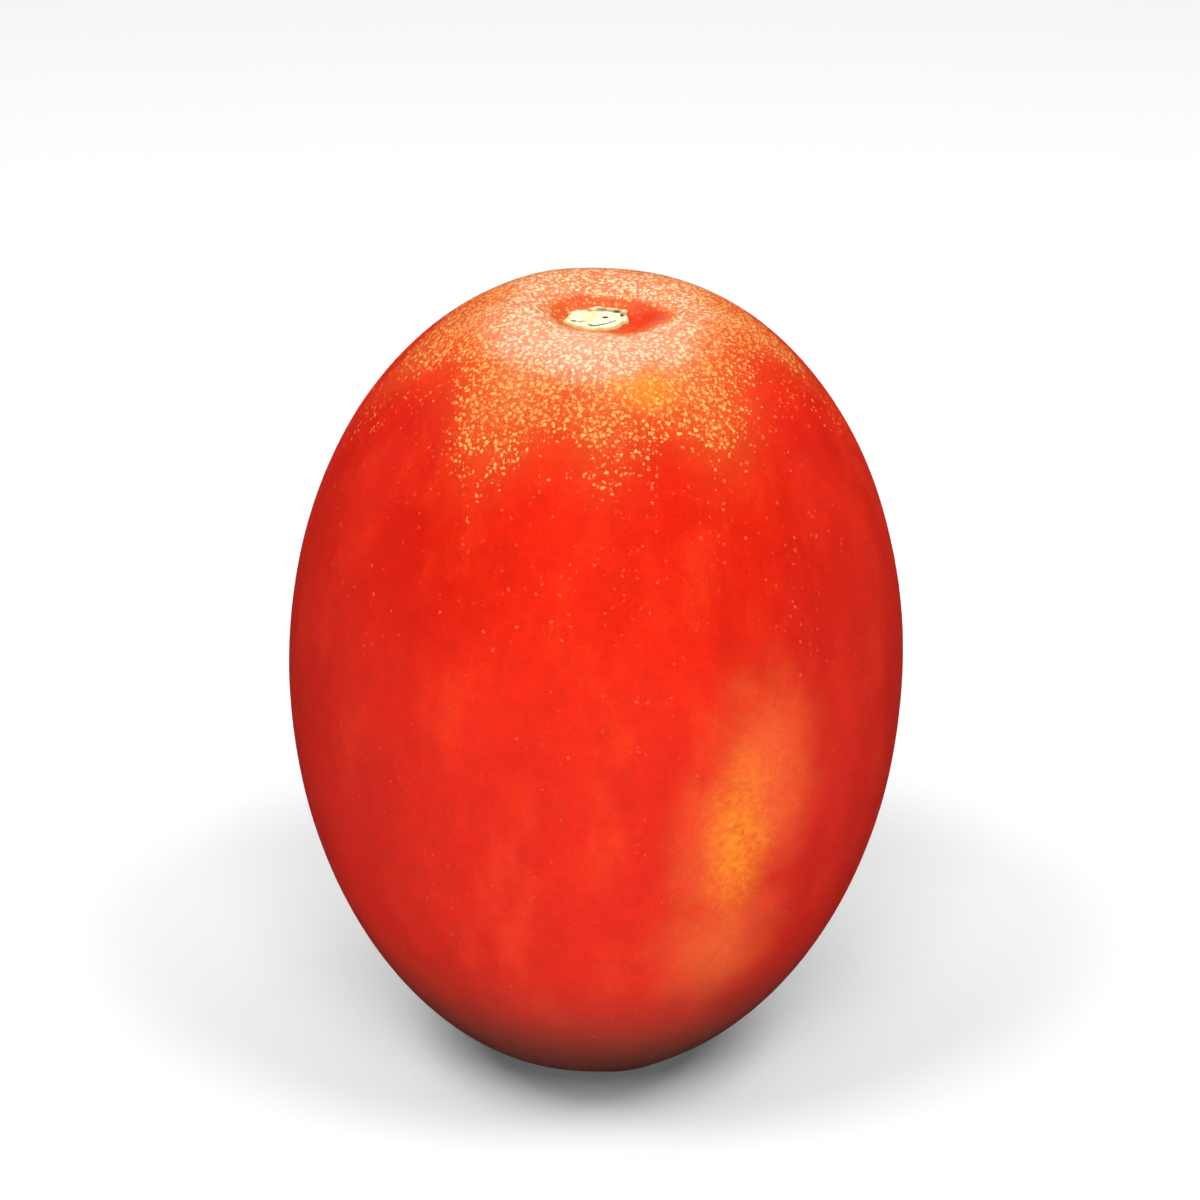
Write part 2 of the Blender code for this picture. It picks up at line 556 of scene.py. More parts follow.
@dataclass(frozen=True)
class SkinFinish:
    """The waxy red skin: ripe red, paler and flecked towards the stem end, with orange patches,
    painted sheen, painted reflection, painted light and painted shade.
    """

    # Deep and ripe red: ripe red at the front middle and at two places towards the back, deep red
    # between; partly ripeness, partly painted light at the front middle and painted shade to each
    # side of it.
    deep_red: Colour = (0.430, 0.0082, 0.0028, 1.0)
    ripe_red: Colour = (0.595, 0.0150, 0.0042, 1.0)
    orange_red: Colour = (0.650, 0.0320, 0.0070, 1.0)
    shoulder: Colour = (0.500, 0.0620, 0.0130, 1.0)
    rim: Colour = (0.490, 0.1500, 0.0520, 1.0)
    # Painted sheen: a pale pink over the front of the stem end's rim, standing in for the overhead
    # lamp's soft reflection.
    painted_sheen: Colour = (0.500, 0.2600, 0.1400, 1.0)
    net: Colour = (0.520, 0.0650, 0.0170, 1.0)
    low_fleck: Colour = (0.640, 0.1500, 0.0350, 1.0)
    fleck: Colour = (0.670, 0.3750, 0.0920, 1.0)
    rim_fleck: Colour = (0.730, 0.6000, 0.3700, 1.0)
    # Flecks under the painted sheen are painted paler still.
    painted_sheen_fleck: Colour = (0.700, 0.5400, 0.3800, 1.0)
    dot: Colour = (0.620, 0.0950, 0.0550, 1.0)
    # The orange blush: partly the fruit's unripe orange, partly a painted soft reflection on the
    # front right.
    blush_and_reflection: Colour = (0.660, 0.0900, 0.0190, 1.0)
    gold: Colour = (0.740, 0.2450, 0.0090, 1.0)
    # Painted shade: a grey-brown over the lower part of the fruit, near the floor, with a little of
    # the blossom end's own brown.
    low_painted_shade: Colour = (0.140, 0.0300, 0.0190, 1.0)
    drawn_out: Place = (1.0, 1.0, 0.45)
    tone: Grain = Grain(0.16, 5.0, 0.6)
    tone_strength: float = 1.4
    glow_ripeness: Span = (0.15, 0.85)
    clouds: Grain = Grain(0.22, 5.0, 0.6)
    cloud_edge: Span = (0.46, 0.72)
    cloud_strength: Span = (0.25, 0.75)
    mottle: Grain = Grain(1.5, 4.0, 0.7)
    mottle_edge: Span = (0.25, 0.75)
    blush_and_reflection_strength: Span = (0.70, 1.00)
    streak_strength: Span = (0.15, 0.90)
    # How strongly the mottle lets the painted sheen and the golden patch show.
    sheen_and_gold_strength: Span = (0.45, 0.85)
    shoulder_from: Span = (0.0, 0.55)
    rim_from: Span = (0.45, 1.0)
    fine_shade: Grain = Grain(3.2, 3.0, 0.6)
    fine_shade_strength: float = 0.34
    broad_shade: Grain = Grain(0.7, 4.0, 0.6)
    broad_shade_strength: float = 0.30
    darkest_shade: float = 0.68
    wobble: Grain = Grain(2.2, 1.0)
    wobble_mm: float = 0.4
    large_flecks: Spots = Spots(2.9, (0.24, 0.38), (0.09, -0.06), 0.95, (0.03, -0.07), (0.55, 1.0))
    crowded_growth: float = 0.08
    pale_growth: float = 0.06
    small_flecks: Spots = Spots(4.93, (0.26, 0.41), (0.1, -0.1), 0.8, (-0.1, -0.2), (0.1, 0.4))
    small_growth: float = 0.10
    fleck_strength: float = 0.95
    fleck_from: Span = (0.10, 0.60)
    rim_fleck_from: Span = (0.68, 1.00)
    painted_sheen_fleck_from: Span = (0.15, 0.90)
    net_per_mm: float = 2.4
    net_line: Span = (0.16, 0.02)
    net_from: Span = (0.5, 1.0)
    # The net lines fade under the painted sheen.
    net_strength_under_sheen: Span = (0.45, 0.10)
    dot_spots: Spots = Spots(1.5, (0.08, 0.20), (0.08, -0.02), 1.0, (0.05, 0.0), (0.15, 0.65))
    dot_crowds: Grain = Grain(0.16)
    dot_crowd_edge: Span = (0.38, 0.60)
    dot_density: Span = (0.25, 0.65)
    shoulder_heights_mm: Span = (36.0, 56.0)
    sheen: Grain = Grain(0.35, 3.0)
    roughness: Span = (0.32, 0.40)
    peel: Grain = Grain(3.5, 3.0)
    bump_strength: float = 0.35
    bump_depth: float = 0.00003
    specular: float = 0.10
    flesh_weight: float = 0.06
    flesh_reach: Place = (1.0, 0.25, 0.12)
    flesh_depth: float = 0.0015
    # The three blushes at the front right are partly unripe orange, partly a painted soft
    # reflection from low on the right; the one at the back left is orange colour only.
    blushes_and_reflection: tuple[Zone, ...] = (
        Zone((12.6, -20.6, 36.5), (6.8, 8.0, 12.5), 0.15),
        Zone((9.4, -22.0, 31.0), (6.0, 6.5, 11.0)),
        Zone((9.6, -20.5, 21.0), (7.5, 8.0, 11.0)),
        Zone((-14.0, 19.0, 30.0), (6.0, 9.0, 12.0)),
    )
    streaks: tuple[Zone, ...] = (
        Zone((11.2, -22.0, 31.5), (3.8, 5.5, 10.0)),
        Zone((-15.5, 17.5, 26.0), (2.6, 5.0, 8.0)),
    )
    golden: tuple[Zone, ...] = (Zone((3.9, -10.8, 65.4), (3.6, 3.2, 3.4)),)

    def strongest(self, graph: Graph, zones: tuple[Zone, ...], place: Any) -> Signal:
        """The strongest mask of several patches, at a place in millimetres."""
        masks = [zone.mask(graph, place) for zone in zones]
        return reduce(lambda first, second: graph.math("MAXIMUM", first, second), masks)

    def ground(self, graph: Graph, place: Any, paleness: Signal) -> Socket:
        """The skin's colour without flecks, with its painted sheen, reflection, light and shade.

        Args:
            graph: The material's nodes.
            place: The place in millimetres.
            paleness: How unripe the skin is, from 0 to 1.

        Returns:
            The colour.
        """
        along = graph.vector("MULTIPLY", place, self.drawn_out)
        # Brighter red at the front middle and at two places towards the back, deeper red between:
        # partly ripeness, partly painted light and shade. The orange clouds follow it.
        glow = graph.attribute("glow")
        tone = (graph.grain(along, self.tone) - 0.5) * self.tone_strength
        red = graph.mixed(between(glow, *self.glow_ripeness) + tone, self.deep_red, self.ripe_red)
        clouds = graph.rise(graph.grain(along, self.clouds), *self.cloud_edge)
        red = graph.mixed(clouds * between(glow, *self.cloud_strength), red, self.orange_red)
        mottle = graph.rise(graph.grain(place, self.mottle), *self.mottle_edge)
        # Orange blushes, on the front right partly a painted soft reflection.
        blush_and_reflection = self.strongest(graph, self.blushes_and_reflection, place) * between(mottle, *self.blush_and_reflection_strength)
        orange = graph.mixed(blush_and_reflection, red, self.blush_and_reflection)
        streak = self.strongest(graph, self.streaks, place) * between(mottle, *self.streak_strength)
        orange = graph.mixed(streak, orange, self.gold)
        pale = graph.mixed(graph.rise(paleness, *self.shoulder_from), orange, self.shoulder)
        pale = graph.mixed(graph.rise(paleness, *self.rim_from), pale, self.rim)
        # Painted sheen: the front of the stem end's rim is painted pale pink where the overhead
        # lamp's soft reflection falls.
        sheen_and_gold_mottle = between(mottle, *self.sheen_and_gold_strength)
        pale = graph.mixed(graph.attribute("painted_sheen") * sheen_and_gold_mottle, pale, self.painted_sheen)
        gilded = graph.mixed(self.strongest(graph, self.golden, place) * sheen_and_gold_mottle, pale, self.gold)
        fine = graph.grain(place, self.fine_shade) * self.fine_shade_strength
        broad = graph.grain(place, self.broad_shade) * self.broad_shade_strength
        # Painted shade: the lower part of the fruit is darkened to grey-brown.
        shaded_low = graph.mixed(graph.attribute("tip"), gilded, self.low_painted_shade)
        return graph.scaled(shaded_low, fine + broad + self.darkest_shade)

    def flecks(self, graph: Graph, bent: Any, density: Signal, paleness: Signal) -> Signal:
        """The cream flecks: few and round low on the shoulder, merging towards the stem end.

        Args:
            graph: The material's nodes.
            bent: The place in millimetres, a little wavy.
            density: How crowded the flecks are, from 0 to 1.
            paleness: How unripe the skin is, from 0 to 1.

        Returns:
            How strongly a fleck shows, 0 off the flecks.
        """
        growth = density * self.crowded_growth + paleness * self.pale_growth
        large = self.large_flecks.mask(graph, bent, density, growth)
        small = self.small_flecks.mask(graph, bent, density, density * self.small_growth)
        return graph.math("MAXIMUM", large, small)

    def net_lines(self, graph: Graph, place: Any, density: Signal) -> Signal:
        """The thin orange lines between the pale cells at the stem end.

        Args:
            graph: The material's nodes.
            place: The place in millimetres.
            density: How crowded the flecks are, from 0 to 1.

        Returns:
            1 on a line, 0 off it.
        """
        inputs = {"Vector": place, "Scale": self.net_per_mm}
        edges = graph.node("ShaderNodeTexVoronoi", {"feature": "DISTANCE_TO_EDGE"}, inputs)
        lines = graph.rise(Signal(graph, edges.outputs["Distance"]), *self.net_line)
        return lines * graph.rise(density, *self.net_from)

    def dots(self, graph: Graph, place: Any, bent: Any) -> Signal:
        """Faint dots all over the fruit, in loose crowds, more of them on the shoulders.

        Args:
            graph: The material's nodes.
            place: The place in millimetres.
            bent: The place, a little wavy.

        Returns:
            How strongly a dot shows.
        """
        shoulder = graph.rise(graph.parts(place)[2], *self.shoulder_heights_mm)
        crowds = graph.rise(graph.grain(place, self.dot_crowds), *self.dot_crowd_edge)
        return self.dot_spots.mask(graph, bent, crowds * between(shoulder, *self.dot_density), 0.0)

    def dress(self, piece: Piece) -> None:
        """Gives a piece this finish.

        Args:
            piece: The skin, whose points hold how ripe and how flecked they are, and where sheen,
                light and shade are painted.
        """
        graph = Graph("tomato_skin")
        place = graph.place_mm()
        density, paleness, painted_sheen = map(graph.attribute, ("flecks", "paleness", "painted_sheen"))
        wobble = graph.node("ShaderNodeTexNoise", {}, {"Vector": place, **self.wobble.inputs()})
        bent = graph.vector("ADD", place, graph.scaled(wobble.outputs["Color"], self.wobble_mm))
        flecks = self.flecks(graph, bent, density, paleness)
        fleck = graph.mixed(graph.rise(density, *self.fleck_from), self.low_fleck, self.fleck)
        fleck = graph.mixed(graph.rise(paleness, *self.rim_fleck_from), fleck, self.rim_fleck)
        # Flecks under the painted sheen are painted paler.
        fleck = graph.mixed(graph.rise(painted_sheen, *self.painted_sheen_fleck_from), fleck, self.painted_sheen_fleck)
        ground = self.ground(graph, place, paleness)
        colour = graph.mixed(flecks * self.fleck_strength, ground, fleck)
        # The net lines fade where the sheen is painted.
        netted = self.net_lines(graph, place, density) * between(painted_sheen, *self.net_strength_under_sheen)
        colour = graph.mixed(netted, colour, self.net)
        relief = (flecks + graph.grain(place, self.peel)) * 0.5
        finish = {
            "Base Color": graph.mixed(self.dots(graph, place, bent), colour, self.dot),
            "Roughness": between(graph.grain(place, self.sheen), *self.roughness),
            "Normal": graph.bump(relief, self.bump_strength, self.bump_depth),
            "Specular IOR Level": self.specular,
            "Subsurface Weight": self.flesh_weight,
            "Subsurface Radius": self.flesh_reach,
            "Subsurface Scale": self.flesh_depth,
        }
        piece.data.materials.append(graph.surface(finish))


@dataclass(frozen=True)
class CorkFinish:
    """The dry cream cork of the stem scar, tan at its edge, with painted shade in its pits and
    cracks.
    """

    cream: Colour = (0.58, 0.49, 0.25, 1.0)
    ivory: Colour = (0.62, 0.60, 0.44, 1.0)
    tan: Colour = (0.46, 0.25, 0.07, 1.0)
    brown: Colour = (0.30, 0.14, 0.03, 1.0)
    # Near-black painted shade for the pits and cracks.
    pit_shade: Colour = (0.020, 0.012, 0.005, 1.0)
    patches: Grain = Grain(0.9, 3.0, 0.6)
    patch_edge: Span = (0.38, 0.62)
    grain: Grain = Grain(6.0, 4.0, 0.7)
    speckle_edge: Span = (0.56, 0.72)
    speckle_strength: float = 0.40
    rim_from: Span = (0.80, 0.94)
    rim_raggedness: float = 0.30
    rim_strength: float = 0.85
    stain_edge: Span = (0.12, 0.55)
    stain_raggedness: float = 1.2
    stain_strength: float = 0.80
    pit_edge: Span = (0.12, 0.50)
    roughness: Span = (0.7, 0.9)
    bump_strength: float = 0.5
    bump_depth: float = 0.00004
    specular: float = 0.25

    def dress(self, piece: Piece) -> None:
        """Gives a piece this finish.

        Args:
            piece: The scar, whose points hold their share of its radius, pits and stains.
        """
        graph = Graph("stem_scar_cork")
        place = graph.place_mm()
        patches = graph.rise(graph.grain(place, self.patches), *self.patch_edge)
        cork = graph.mixed(patches, self.cream, self.ivory)
        grain = graph.grain(place, self.grain)
        speckles = graph.rise(grain, *self.speckle_edge) * self.speckle_strength
        cork = graph.mixed(speckles, cork, self.tan)
        share = graph.attribute("share") + (grain - 0.5) * self.rim_raggedness
        cork = graph.mixed(graph.rise(share, *self.rim_from) * self.rim_strength, cork, self.tan)
        stain = graph.attribute("stain") + (grain - 0.5) * self.stain_raggedness
        stain = graph.rise(stain, *self.stain_edge) * self.stain_strength
        cork = graph.mixed(stain, cork, self.brown)
        # Painted shade: the pits and cracks are painted near-black.
        cork = graph.mixed(graph.rise(graph.attribute("pit"), *self.pit_edge), cork, self.pit_shade)
        finish = {
            "Base Color": cork,
            "Roughness": between(grain, *self.roughness),
            "Normal": graph.bump(grain, self.bump_strength, self.bump_depth),
            "Specular IOR Level": self.specular,
        }
        piece.data.materials.append(graph.surface(finish))


@dataclass(frozen=True)
class DryTipFinish:
    """The brown dry tissue where the blossom fell off."""

    brown: Colour = (0.16, 0.07, 0.025, 1.0)
    straw: Colour = (0.50, 0.33, 0.14, 1.0)
    grain: Grain = Grain(7.0, 4.0, 0.7)
    straw_edge: Span = (0.40, 0.65)
    roughness: Span = (0.7, 0.9)
    bump_strength: float = 0.6
    bump_depth: float = 0.00004

    def dress(self, piece: Piece) -> None:
        """Gives a piece this finish.

        Args:
            piece: The dry tip.
        """
        graph = Graph("blossom_tip")
        grain = graph.grain(graph.place_mm(), self.grain)
        finish = {
            "Base Color": graph.mixed(graph.rise(grain, *self.straw_edge), self.brown, self.straw),
            "Roughness": between(grain, *self.roughness),
            "Normal": graph.bump(grain, self.bump_strength, self.bump_depth),
        }
        piece.data.materials.append(graph.surface(finish))


@dataclass(frozen=True)
class Tongue:
    """A run of flecks that hangs from the stem end: where, how wide, and how far below the rest."""

    azimuth_degrees: float
    spread_degrees: float
    reach: float

    def hung(self, azimuth: Array) -> Array:
        """How far it hangs below the rest at each azimuth."""
        away = turn_between(azimuth, math.radians(self.azimuth_degrees))
        return self.reach * bell(away, math.radians(self.spread_degrees))


@dataclass
class Skin:
    """The fruit's skin, from the pit under its stem scar to its flat spot."""

    form: FruitForm
    finish: SkinFinish = field(default_factory=SkinFinish)
    segments: int = 240
    scar_rings: int = 12
    stem_end_rings: int = 70
    body_rings: int = 210
    foot_rings: int = 36
    pit_depth: float = 0.0007
    pit_edge: Span = (1.0, 0.86)
    swell_size: float = 0.009
    swell_height: float = 0.00005
    pucker_height: float = 0.00002
    pucker_fade: float = 0.35
    pucker_gap: float = 0.1
    puckers: tuple[tuple[int, float], ...] = ((13, 0.4), (21, 2.6), (34, 5.1))
    fine_size: float = 0.0012
    coarse_size: float = 0.0030
    fine_fray: float = 0.05
    coarse_fray: float = 0.07
    fleck_reach: float = 0.59
    fleck_edge: Span = (-0.02, 0.20)
    fleck_unevenness: float = 0.35
    sprinkle_edge: Span = (0.95, 0.60)
    sprinkle_fray: float = 2.0
    sprinkle_strength: float = 0.10
    dimple_reach: float = 0.105
    dimple_fade: float = 0.060
    dimple_fray: float = 0.02
    dimple_red: Tongue = Tongue(-12, 42, 0.090)
    dimple_rose: float = 0.45
    dimple_flecks: float = 0.12
    dimple_paleness: float = 0.20
    rose_gap: float = math.radians(50)
    # Where the painted sheen lies: round the stem end's rim, on the side towards -Y.
    painted_sheen_azimuth: float = math.radians(-95)
    painted_sheen_spread: float = math.radians(75)
    painted_sheen_from: Span = (0.14, 0.22)
    painted_sheen_to: Span = (0.46, 0.33)
    pale_edge: Span = (-0.18, 0.62)
    crown_reach: Span = (0.60, 0.22)
    # Where the held brightness, partly painted light and shade, sets in and how it follows the
    # lobes.
    glow_from: Span = (0.50, 1.15)
    glow_edge: Span = (0.75, -0.85)
    # How far up the painted shade over the lower part reaches, as polar angles.
    low_shade_reach: Span = (1.96, 2.52)
    tongues: tuple[Tongue, ...] = (
        Tongue(-122, 18, 0.22),
        Tongue(-53, 18, 0.20),
        Tongue(-88, 18, 0.17),
        Tongue(-178, 14, 0.16),
        Tongue(5, 14, 0.18),
        Tongue(42, 16, 0.22),
        Tongue(88, 12, 0.28),
        Tongue(135, 18, 0.20),
    )
    streaks: tuple[Tongue, ...] = (
        Tongue(-121, 3.5, 0.42),
        Tongue(-59, 3.5, 0.42),
        Tongue(-104, 3.0, 0.24),
        Tongue(-76, 3.0, 0.24),
        Tongue(180, 26, 0.36),
        Tongue(0, 26, 0.36),
        Tongue(66, 4.0, 0.38),
        Tongue(112, 4.0, 0.46),
    )
    streak_fade: float = 0.12
    streak_strength: float = 0.238
    streak_unevenness: float = 0.17

    def ring_angles(self) -> Array:
        """Spaces the rings, close together where the skin curves sharply.

        Returns:
            Their polar angles, from pole to pole.
        """
        form = self.form
        scar = [0.0] + spaced(0.0, form.scar_angle, self.scar_rings)
        stem_end = spaced(form.scar_angle, form.rim_angle, self.stem_end_rings)
        body = spaced(form.rim_angle, math.pi - 2 * (math.pi - form.foot_angle), self.body_rings)
        foot = spaced(body[-1], math.pi, self.foot_rings)
        return np.array(scar + stem_end + body + foot)

    def relief(self, polar: Array, azimuth: Array, points: Array) -> Array:
        """Swells and puckers that the skin has on top of the fruit's form.

        Args:
            polar: The points' polar angles.
            azimuth: The points' azimuths.
            points: The points on the plain form.

        Returns:
            How far each point stands out, in metres.
        """
        swells = ripple(points, self.swell_size) * self.swell_height
        beyond = (polar / self.form.scar_angle - 1).clip(0.0)
        folds = sum(np.cos(count * azimuth + phase) for count, phase in self.puckers)
        folded = np.exp(-beyond / self.pucker_fade) * ease(beyond, 0.0, self.pucker_gap)
        return swells + self.pucker_height * folds * folded

    def lowest(self, azimuth: Array, tongues: tuple[Tongue, ...]) -> Array:
        """How far below the rest the flecks hang at each azimuth."""
        return np.max([tongue.hung(azimuth) for tongue in tongues], axis=0)

    def hold_ripeness_and_painted_light(self, globe: Globe, polar: Array, points: Array) -> None:
        """Keeps for each point how ripe and how flecked the skin is there, and where sheen, light
        and shade are painted on it.

        Args:
            globe: The skin's mesh.
            polar: The points' polar angles.
            points: The points in metres.
        """
        form = self.form
        azimuth = globe.azimuth
        coarse = ripple(points, self.coarse_size)
        fray = self.fine_fray * ripple(points, self.fine_size) + self.coarse_fray * coarse
        below = polar - self.fleck_reach - self.lowest(azimuth, self.tongues)
        crowd = ease(fray - below, *self.fleck_edge) * (1 + self.fleck_unevenness * coarse)
        above = self.fleck_reach + self.lowest(azimuth, self.streaks) - polar
        strength = self.streak_strength + self.streak_unevenness * coarse
        crowd = np.maximum(crowd, ease(fray + above, 0.0, self.streak_fade) * strength)
        sprinkle = ease(polar + self.sprinkle_fray * fray, *self.sprinkle_edge)
        crowd = np.maximum(crowd, self.sprinkle_strength * sprinkle)
        beyond_red = polar - self.dimple_reach - self.dimple_red.hung(azimuth)
        dimple = ease(beyond_red + self.dimple_fray * coarse, 0.0, self.dimple_fade)
        from_red = turn_between(azimuth, math.radians(self.dimple_red.azimuth_degrees))
        dimple = np.maximum(dimple, self.dimple_rose * (1 - bell(from_red, self.rose_gap)))
        globe.hold("flecks", crowd.clip(0, 1) * between(dimple, self.dimple_flecks, 1.0))
        pale = np.maximum(ease(-below, *self.pale_edge), ease(polar + fray, *self.crown_reach))
        globe.hold("paleness", pale * between(dimple, self.dimple_paleness, 1.0))
        # The painted sheen: the front of the stem end's rim, where the overhead lamp's soft
        # reflection is painted.
        across = bell(turn_between(azimuth, self.painted_sheen_azimuth), self.painted_sheen_spread)
        ring = ease(polar, *self.painted_sheen_from) * ease(polar + fray, *self.painted_sheen_to)
        globe.hold("painted_sheen", across * ring)
        # Held as glow: high at the front middle and at two places towards the back, low between;
        # partly ripeness, partly painted light and shade.
        lobes = np.cos(form.lobe_count * (azimuth - form.lobe_azimuth))
        globe.hold("glow", ease(lobes * ease(polar, *self.glow_from), *self.glow_edge))
        # Held as tip: the painted shade over the lower part of the fruit.
        globe.hold("tip", ease(polar, *self.low_shade_reach))

    def build(self) -> Piece:
        """Makes and dresses the skin.

        Returns:
            The skin, which stands for the fruit's solid.
        """
        angles = self.ring_angles()
        globe = Globe("tomato_skin", self.segments, len(angles) - 1)
        form = self.form
        ring_polar = angles[globe.ring]
        polar = form.ragged(ring_polar, globe.azimuth)
        pit = self.pit_depth * ease(ring_polar / form.scar_angle, *self.pit_edge)
        height = form.settled_height(polar, globe.azimuth) - pit
        plain = form.placed(polar, globe.azimuth, height, np.zeros_like(polar))
        swell = self.relief(polar, globe.azimuth, plain)
        points = form.placed(polar, globe.azimuth, height, swell)
        self.hold_ripeness_and_painted_light(globe, polar, points)
        skin = globe.shaped(points)
        self.finish.dress(skin)
        return skin


@dataclass(frozen=True)
class Pit:
    """A hole in the cork: its place in metres, its length, its breadth and how it is turned."""

    x: float
    y: float
    length: float
    breadth: float
    turn_degrees: float = 0.0

    def depth(self, x: Array, y: Array) -> Array:
        """How deep in the pit each place is.

        Args:
            x: The places' distances along X, in metres.
            y: The places' distances along Y, in metres.

        Returns:
            1 in the pit's middle, falling to 0 round it.
        """
        turn = math.radians(self.turn_degrees)
        along = (x - self.x) * math.cos(turn) + (y - self.y) * math.sin(turn)
        across = (y - self.y) * math.cos(turn) - (x - self.x) * math.sin(turn)
        return bell(along, self.length) * bell(across, self.breadth)


@dataclass(frozen=True)
class Crack:
    """A thin crack in the cork along a ring: its share of the scar's radius, and where it runs."""

    share: float
    middle_degrees: float
    spread_degrees: float
    breadth: float
    waves: int = 3
    wave_depth: float = 0.05
    taper: Span = (1.0, 0.75)

    def depth(self, share: Array, azimuth: Array) -> Array:
        """How deep in the crack each place is.

        Args:
            share: The places' shares of the scar's radius.
            azimuth: The places' azimuths.

        Returns:
            1 in the crack, falling to 0 beside it and at its ends.
        """
        away = np.abs(turn_between(azimuth, math.radians(self.middle_degrees)))
        ends = ease(away / math.radians(self.spread_degrees), *self.taper)
        bent = self.share + self.wave_depth * np.cos(self.waves * azimuth)
        return bell(share - bent, self.breadth) * ends


@dataclass
class StemScar:
    """The corky plate that the stalk left: ragged, with a raised lip, cracks and pits."""

    form: FruitForm
    finish: CorkFinish = field(default_factory=CorkFinish)
    segments: int = 220
    face_rings: int = 66
    under_rings: int = 12
    rim_share: float = 1.04
    thickness: float = 0.00045
    under_share: float = 0.8
    under_gap: float = 0.0001
    turned_from: float = 0.93
    lip_height: float = 0.00008
    lip_share: float = 0.90
    lip_breadth: float = 0.07
    grain_size: float = 0.00035
    grain_height: float = 0.000035
    fine_grain_size: float = 0.00035 / 2.3
    fine_grain_height: float = 0.000021
    smooth_rim: Span = (1.04, 0.90)
    pit_depth: float = 0.00032
    crack_depth: float = 0.00014
    # How strongly painted shade fills the cracks, against the pits.
    crack_shade: float = 0.85
    pits: tuple[Pit, ...] = (
        Pit(-0.00175, -0.00031, 0.00020, 0.00016),
        Pit(-0.00118, -0.00041, 0.00026, 0.00010, 12),
        Pit(0.00072, 0.00051, 0.00022, 0.00018),
        Pit(0.00159, 0.00140, 0.00026, 0.00012, -15),
        Pit(0.00205, 0.00074, 0.00010, 0.00022, 10),
        Pit(-0.00234, 0.00014, 0.00008, 0.00010),
    )
    stains: tuple[Pit, ...] = (
        Pit(0.00048, 0.00160, 0.00050, 0.00026),
        Pit(0.00165, 0.00135, 0.00040, 0.00024, -20),
        Pit(0.00215, 0.00070, 0.00018, 0.00040, 5),
        Pit(-0.00060, 0.00150, 0.00035, 0.00018),
    )
    cracks: tuple[Crack, ...] = (
        Crack(0.48, -72, 72, 0.042),
        Crack(0.80, 75, 22, 0.026),
    )

    def build(self) -> Piece:
        """Makes and dresses the scar.

        Returns:
            The scar.
        """
        form = self.form
        rings = self.face_rings + self.under_rings
        globe = Globe("stem_scar", self.segments, rings)
        face = globe.ring <= self.face_rings
        back = (rings - globe.ring) / self.under_rings
        ring_share = np.where(face, globe.ring / self.face_rings, back)
        share = ring_share * self.rim_share
        polar = form.scar_angle * share * form.scar_outline(globe.azimuth)
        height = form.scar_height(share, globe.azimuth)
        points = form.placed(polar, globe.azimuth, height, np.zeros_like(polar))
        x, y = points[:, 0], points[:, 1]
        pit = sum(hole.depth(x, y) for hole in self.pits)
        crack = sum(line.depth(share, globe.azimuth) for line in self.cracks)
        lip = self.lip_height * bell(share - self.lip_share, self.lip_breadth)
        worn = self.grain_height * ripple(points, self.grain_size)
        worn = worn + self.fine_grain_height * ripple(points, self.fine_grain_size)
        dug = self.pit_depth * pit + self.crack_depth * crack
        under = self.thickness * self.under_share
        turned = under * ease(share, self.turned_from, self.rim_share) ** 2
        face_height = height + lip + worn * ease(share, *self.smooth_rim) - dug - turned
        points[:, 2] = form.stood(np.where(face, face_height, height - under - self.under_gap))
        globe.hold("share", ring_share)
        # The pits and cracks, held as pit, are where the cork's painted shade goes.
        globe.hold("pit", np.where(face, np.maximum(pit, self.crack_shade * crack), 0.0))
        globe.hold("stain", sum(stain.depth(x, y) for stain in self.stains))
        scar = globe.shaped(points)
        self.finish.dress(scar)
        return scar


@dataclass
class BlossomTip:
    """The dry star of tissue at the blossom end, just clear of the surface below."""

    finish: DryTipFinish = field(default_factory=DryTipFinish)
    radius: float = 0.0009
    points: int = 5
    point_depth: float = 0.22
    segments: int = 80
    rings: int = 24
    thickness: float = 0.00030
    clearance: float = 0.00002
    crumb_size: float = 0.0003
    crumb_height: float = 0.1

    def build(self) -> Piece:
        """Makes and dresses the tip.

        Returns:
            The tip.
        """
        globe = Globe("blossom_tip", self.segments, self.rings)
        turn = globe.ring / self.rings * math.pi
        star = 1 + self.point_depth * np.cos(self.points * globe.azimuth)
        radius = self.radius * np.sin(turn) * star
        x, y = radius * np.cos(globe.azimuth), radius * np.sin(globe.azimuth)
        crumbs = ripple(np.stack([x, y, turn * MM], axis=1), self.crumb_size)
        rise = self.thickness / 2 * (1 + np.cos(turn)) * (1 + self.crumb_height * crumbs)
        tip = globe.shaped(np.stack([x, y, self.clearance + rise], axis=1))
        self.finish.dress(tip)
        return tip


class Gloss(Enum):
    """Whether a lamp shows as a highlight on what it lights."""

    SHOWS = True
    HIDDEN = False


class Lit(Enum):
    """What a lamp lights, as the collection that holds it."""

    FRUIT = "lit_fruit"
    FLOOR = "lit_floor"


@dataclass(frozen=True)
class Softbox:
    """A square lamp that faces the fruit: degrees round it from the front, degrees up, watts."""

    name: str
    round_degrees: float
    up_degrees: float
    watts: float
    lit: Lit
    size: float = 0.40
    gloss: Gloss = Gloss.HIDDEN
    distance: float = 0.75

    def build(self, aim: Vector) -> None:
        """Hangs the lamp.

        Args:
            aim: The point that it faces.
        """
        turn, rise = math.radians(self.round_degrees), math.radians(self.up_degrees)
        out = math.cos(rise)
        towards = Vector((math.sin(turn) * out, -math.cos(turn) * out, math.sin(rise)))
        lamp = bpy.data.lights.new(self.name, "AREA")
        lamp.shape = "SQUARE"
        lamp.size = self.size
        lamp.energy = self.watts
        hung = bpy.data.objects.new(self.name, lamp)
        hung.location = aim + towards * self.distance
        hung.rotation_euler = (-towards).to_track_quat("-Z", "Y").to_euler()
        hung.visible_glossy = self.gloss.value
        hung.light_linking.receiver_collection = bpy.data.collections[self.lit.value]
        bpy.context.scene.collection.objects.link(hung)


